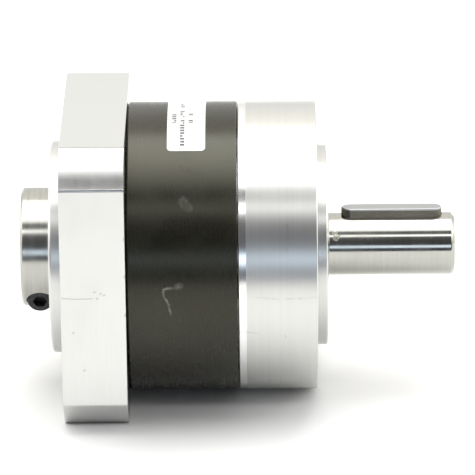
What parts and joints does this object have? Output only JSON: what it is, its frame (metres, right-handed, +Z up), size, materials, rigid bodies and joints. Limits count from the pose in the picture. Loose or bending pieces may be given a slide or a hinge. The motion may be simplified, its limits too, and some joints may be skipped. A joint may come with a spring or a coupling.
{
  "type": "inline gear reducer",
  "caption": "Inline planetary gear reducer with a round output flange, keyed output shaft, black ring gear, square input flange and clamp hub for a motor shaft.",
  "frame": {"origin": "on the shafts' common axis, in the joint between the ring gear and the output flange, which is the middle of the bounding box", "axes": "+X along the shafts towards the output shaft's end, +Z up as the reducer stands on a side of its square flange"},
  "size_m": [0.1724, 0.116, 0.116],
  "materials": {
    "machined_flange": "satin",
    "black_ring_gear": "satin",
    "ground_steel": "satin",
    "gear_steel": "satin",
    "bearing_steel": "polished",
    "black_oxide_steel": "satin",
    "seal_rubber": "matte",
    "label_foil": "satin"
  },
  "bodies": {
    "housing": {"output_flange": "machined_flange", "ring_gear": "black_ring_gear", "input_flange": "machined_flange", "output_seal": "seal_rubber", "input_seal": "seal_rubber", "output_o_ring": "seal_rubber", "input_o_ring": "seal_rubber", "front_bearing_outer_ring": "bearing_steel", "rear_bearing_outer_ring": "bearing_steel", "input_bearing_outer_ring": "bearing_steel", "output_bore_circlip": "black_oxide_steel", "input_bore_circlip": "black_oxide_steel", "rating_label": "label_foil", "output_flange_screw_1": "black_oxide_steel", "output_flange_screw_2": "black_oxide_steel", "output_flange_screw_3": "black_oxide_steel", "output_flange_screw_4": "black_oxide_steel", "input_flange_screw_1": "black_oxide_steel", "input_flange_screw_2": "black_oxide_steel", "input_flange_screw_3": "black_oxide_steel", "input_flange_screw_4": "black_oxide_steel"},
    "output": {"output_shaft": "ground_steel", "shaft_key": "ground_steel", "front_bearing_inner_ring": "bearing_steel", "rear_bearing_inner_ring": "bearing_steel", "output_shaft_circlip": "black_oxide_steel", "planet_pin_1": "gear_steel", "planet_pin_2": "gear_steel", "planet_pin_3": "gear_steel", "thrust_washer_front_1": "gear_steel", "thrust_washer_front_2": "gear_steel", "thrust_washer_front_3": "gear_steel", "thrust_washer_rear_1": "gear_steel", "thrust_washer_rear_2": "gear_steel", "thrust_washer_rear_3": "gear_steel"},
    "input": {"clamp_hub": "ground_steel", "sun_gear": "gear_steel", "clamp_screw": "black_oxide_steel", "input_bearing_inner_ring": "bearing_steel", "input_hub_circlip": "black_oxide_steel"},
    "planet_1": {"planet_gear_1": "gear_steel"},
    "needles_1": {"needle_cage_1": "bearing_steel"},
    "planet_2": {"planet_gear_2": "gear_steel"},
    "needles_2": {"needle_cage_2": "bearing_steel"},
    "planet_3": {"planet_gear_3": "gear_steel"},
    "needles_3": {"needle_cage_3": "bearing_steel"},
    "front_bearing_cage": {"front_bearing_balls": "bearing_steel"},
    "rear_bearing_cage": {"rear_bearing_balls": "bearing_steel"},
    "input_bearing_cage": {"input_bearing_balls": "bearing_steel"}
  },
  "joints": [
    {"name": "output_spin", "type": "hinge", "parent": "housing", "child": "output", "pos_m": [0, 0, 0], "axis": [1, 0, 0], "continuous": true},
    {"name": "input_spin", "type": "hinge", "parent": "housing", "child": "input", "pos_m": [0, 0, 0], "axis": [1, 0, 0], "continuous": true},
    {"name": "planet_1_spin", "type": "hinge", "parent": "output", "child": "planet_1", "pos_m": [0, 0, 0.027], "axis": [1, 0, 0], "continuous": true},
    {"name": "needles_1_spin", "type": "hinge", "parent": "output", "child": "needles_1", "pos_m": [0, 0, 0.027], "axis": [1, 0, 0], "continuous": true},
    {"name": "planet_2_spin", "type": "hinge", "parent": "output", "child": "planet_2", "pos_m": [0, -0.02338, -0.0135], "axis": [1, 0, 0], "continuous": true},
    {"name": "needles_2_spin", "type": "hinge", "parent": "output", "child": "needles_2", "pos_m": [0, -0.02338, -0.0135], "axis": [1, 0, 0], "continuous": true},
    {"name": "planet_3_spin", "type": "hinge", "parent": "output", "child": "planet_3", "pos_m": [0, 0.02338, -0.0135], "axis": [1, 0, 0], "continuous": true},
    {"name": "needles_3_spin", "type": "hinge", "parent": "output", "child": "needles_3", "pos_m": [0, 0.02338, -0.0135], "axis": [1, 0, 0], "continuous": true},
    {"name": "front_bearing_cage_spin", "type": "hinge", "parent": "housing", "child": "front_bearing_cage", "pos_m": [0, 0, 0], "axis": [1, 0, 0], "continuous": true},
    {"name": "rear_bearing_cage_spin", "type": "hinge", "parent": "housing", "child": "rear_bearing_cage", "pos_m": [0, 0, 0], "axis": [1, 0, 0], "continuous": true},
    {"name": "input_bearing_cage_spin", "type": "hinge", "parent": "housing", "child": "input_bearing_cage", "pos_m": [0, 0, 0], "axis": [1, 0, 0], "continuous": true}
  ],
  "couplings": [
    {"joint": "input_spin", "follows": "output_spin", "ratio": 4},
    {"joint": "planet_1_spin", "follows": "output_spin", "ratio": -3},
    {"joint": "needles_1_spin", "follows": "output_spin", "ratio": -1.7143},
    {"joint": "planet_2_spin", "follows": "output_spin", "ratio": -3},
    {"joint": "needles_2_spin", "follows": "output_spin", "ratio": -1.7143},
    {"joint": "planet_3_spin", "follows": "output_spin", "ratio": -3},
    {"joint": "needles_3_spin", "follows": "output_spin", "ratio": -1.7143},
    {"joint": "front_bearing_cage_spin", "follows": "output_spin", "ratio": 0.42235},
    {"joint": "rear_bearing_cage_spin", "follows": "output_spin", "ratio": 0.42963},
    {"joint": "input_bearing_cage_spin", "follows": "output_spin", "ratio": 1.7185}
  ]
}
